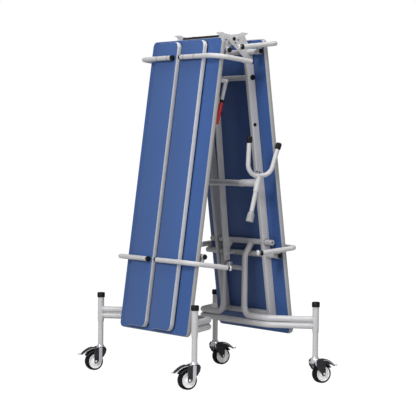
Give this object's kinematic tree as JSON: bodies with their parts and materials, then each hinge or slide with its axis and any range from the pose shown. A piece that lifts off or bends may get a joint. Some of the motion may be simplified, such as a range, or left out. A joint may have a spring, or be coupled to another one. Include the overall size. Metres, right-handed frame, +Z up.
{
  "type": "folding table with benches",
  "caption": "Mobile table hinged at its centre, folded upright into an inverted V on castor frames, with bench boards on bent tube arms stowed on the leaves.",
  "frame": {"origin": "floor level below the centre hinge, midway between the castor frames", "axes": "+Z up, +X across the fold towards the right leaf, +Y along the hinge line"},
  "size_m": [0.9828, 1.078, 1.7756],
  "materials": {
    "board_blue": "blue laminate, satin",
    "frame_grey": "light grey powder coat",
    "cap_black": "black plastic",
    "zinc": "zinc plated",
    "tyre_black": "matt",
    "rim_grey": "satin",
    "lever_red": "satin red"
  },
  "bodies": {
    "castor_frame_left": {"base_left": "frame_grey", "pivot_tube_left": "frame_grey", "riser_bar_left": "frame_grey", "upright_front_left": "frame_grey", "upright_rear_left": "frame_grey", "leg_cap_front_left": "cap_black", "leg_cap_rear_left": "cap_black"},
    "leaf_left": {"top_left": "board_blue", "rail_front_left": "frame_grey", "rail_rear_left": "frame_grey", "bench_tube_upper_left": "frame_grey", "bench_tube_lower_left": "frame_grey", "upper_bar_left": "frame_grey", "end_bar_left": "frame_grey", "stiffener_left": "frame_grey"},
    "bench_front_left": {"seat_front_left": "board_blue", "arm_upper_front_left": "frame_grey", "arm_lower_front_left": "frame_grey"},
    "castor_front_left": {"fork_front_left": "zinc"},
    "wheel_front_left": {"tyre_front_left": "tyre_black", "rim_front_left": "rim_grey"},
    "brake_front_left": {"pedal_front_left": "cap_black"},
    "bench_rear_left": {"seat_rear_left": "board_blue", "arm_upper_rear_left": "frame_grey", "arm_lower_rear_left": "frame_grey"},
    "castor_rear_left": {"fork_rear_left": "zinc"},
    "wheel_rear_left": {"tyre_rear_left": "tyre_black", "rim_rear_left": "rim_grey"},
    "brake_rear_left": {"pedal_rear_left": "cap_black"},
    "castor_frame_right": {"base_right": "frame_grey", "pivot_tube_right": "frame_grey", "riser_bar_right": "frame_grey", "upright_front_right": "frame_grey", "upright_rear_right": "frame_grey", "leg_cap_front_right": "cap_black", "leg_cap_rear_right": "cap_black"},
    "leaf_right": {"top_right": "board_blue", "rail_front_right": "frame_grey", "rail_rear_right": "frame_grey", "bench_tube_upper_right": "frame_grey", "bench_tube_lower_right": "frame_grey", "upper_bar_right": "frame_grey", "end_bar_right": "frame_grey", "stiffener_right": "frame_grey"},
    "bench_front_right": {"seat_front_right": "board_blue", "arm_upper_front_right": "frame_grey", "arm_lower_front_right": "frame_grey"},
    "castor_front_right": {"fork_front_right": "zinc"},
    "wheel_front_right": {"tyre_front_right": "tyre_black", "rim_front_right": "rim_grey"},
    "brake_front_right": {"pedal_front_right": "cap_black"},
    "bench_rear_right": {"seat_rear_right": "board_blue", "arm_upper_rear_right": "frame_grey", "arm_lower_rear_right": "frame_grey"},
    "castor_rear_right": {"fork_rear_right": "zinc"},
    "wheel_rear_right": {"tyre_rear_right": "tyre_black", "rim_rear_right": "rim_grey"},
    "brake_rear_right": {"pedal_rear_right": "cap_black"},
    "yokes": {"yoke_shaft": "frame_grey"},
    "lock": {"lock_lever": "lever_red"}
  },
  "joints": [
    {"name": "fold", "type": "hinge", "parent": "castor_frame_left", "child": "leaf_left", "pos_m": [-0.21243, 0, 0.70913], "axis": [0, 1, 0], "range_deg": [0, 83]},
    {"name": "centre_hinge", "type": "hinge", "parent": "leaf_left", "child": "leaf_right", "pos_m": [0, 0, 1.75], "axis": [0, 1, 0], "range_deg": [-166, 0]},
    {"name": "frame_right_pivot", "type": "hinge", "parent": "leaf_right", "child": "castor_frame_right", "pos_m": [0.21243, 0, 0.70913], "axis": [0, 1, 0], "range_deg": [0, 83]},
    {"name": "bench_flip_front_left", "type": "hinge", "parent": "leaf_left", "child": "bench_front_left", "pos_m": [-0.1671, -0.345, 0.225], "axis": [0.1219, 0, 0.9925], "range_deg": [0, 180]},
    {"name": "bench_flip_rear_left", "type": "hinge", "parent": "leaf_left", "child": "bench_rear_left", "pos_m": [-0.1671, 0.36, 0.225], "axis": [0.1219, 0, 0.9925], "range_deg": [-180, 0]},
    {"name": "bench_flip_front_right", "type": "hinge", "parent": "leaf_right", "child": "bench_front_right", "pos_m": [0.1671, -0.36, 0.225], "axis": [-0.1219, 0, 0.9925], "range_deg": [-180, 0]},
    {"name": "bench_flip_rear_right", "type": "hinge", "parent": "leaf_right", "child": "bench_rear_right", "pos_m": [0.1671, 0.345, 0.225], "axis": [-0.1219, 0, 0.9925], "range_deg": [0, 180]},
    {"name": "yoke_turn", "type": "hinge", "parent": "leaf_right", "child": "yokes", "pos_m": [0.07021, 0, 1.01407], "axis": [0, 1, 0], "range_deg": [-10, 10]},
    {"name": "lock_pull", "type": "hinge", "parent": "leaf_left", "child": "lock", "pos_m": [-0.03463, -0.2365, 1.53361], "axis": [0, 1, 0], "range_deg": [-30, 0], "stiffness_Nm_per_rad": 1.5, "springref_deg": 17.19},
    {"name": "swivel_front_left", "type": "hinge", "parent": "castor_frame_left", "child": "castor_front_left", "pos_m": [-0.35343, -0.511, 0.12], "axis": [0, 0, 1], "continuous": true},
    {"name": "roll_front_left", "type": "hinge", "parent": "castor_front_left", "child": "wheel_front_left", "pos_m": [-0.39243, -0.511, 0.048], "axis": [0, 1, 0], "continuous": true},
    {"name": "brake_front_left", "type": "hinge", "parent": "castor_front_left", "child": "brake_front_left", "pos_m": [-0.38743, -0.511, 0.109], "axis": [0, 1, 0], "range_deg": [-6, 0], "stiffness_Nm_per_rad": 0.5, "springref_deg": 6.88},
    {"name": "swivel_rear_left", "type": "hinge", "parent": "castor_frame_left", "child": "castor_rear_left", "pos_m": [-0.35343, 0.511, 0.12], "axis": [0, 0, 1], "continuous": true},
    {"name": "roll_rear_left", "type": "hinge", "parent": "castor_rear_left", "child": "wheel_rear_left", "pos_m": [-0.39243, 0.511, 0.048], "axis": [0, 1, 0], "continuous": true},
    {"name": "brake_rear_left", "type": "hinge", "parent": "castor_rear_left", "child": "brake_rear_left", "pos_m": [-0.38743, 0.511, 0.109], "axis": [0, 1, 0], "range_deg": [-6, 0], "stiffness_Nm_per_rad": 0.5, "springref_deg": 6.88},
    {"name": "swivel_front_right", "type": "hinge", "parent": "castor_frame_right", "child": "castor_front_right", "pos_m": [0.35343, -0.511, 0.12], "axis": [0, 0, 1], "continuous": true},
    {"name": "roll_front_right", "type": "hinge", "parent": "castor_front_right", "child": "wheel_front_right", "pos_m": [0.39243, -0.511, 0.048], "axis": [0, 1, 0], "continuous": true},
    {"name": "brake_front_right", "type": "hinge", "parent": "castor_front_right", "child": "brake_front_right", "pos_m": [0.38743, -0.511, 0.109], "axis": [0, 1, 0], "range_deg": [0, 6], "stiffness_Nm_per_rad": 0.5, "springref_deg": -6.88},
    {"name": "swivel_rear_right", "type": "hinge", "parent": "castor_frame_right", "child": "castor_rear_right", "pos_m": [0.35343, 0.511, 0.12], "axis": [0, 0, 1], "continuous": true},
    {"name": "roll_rear_right", "type": "hinge", "parent": "castor_rear_right", "child": "wheel_rear_right", "pos_m": [0.39243, 0.511, 0.048], "axis": [0, 1, 0], "continuous": true},
    {"name": "brake_rear_right", "type": "hinge", "parent": "castor_rear_right", "child": "brake_rear_right", "pos_m": [0.38743, 0.511, 0.109], "axis": [0, 1, 0], "range_deg": [0, 6], "stiffness_Nm_per_rad": 0.5, "springref_deg": -6.88}
  ],
  "couplings": [
    {"joint": "centre_hinge", "follows": "fold", "ratio": -2},
    {"joint": "frame_right_pivot", "follows": "fold", "ratio": 1},
    {"joint": "bench_flip_front_left", "follows": "fold", "ratio": 2.1687},
    {"joint": "bench_flip_rear_left", "follows": "fold", "ratio": -2.1687},
    {"joint": "bench_flip_front_right", "follows": "fold", "ratio": -2.1687},
    {"joint": "bench_flip_rear_right", "follows": "fold", "ratio": 2.1687}
  ]
}
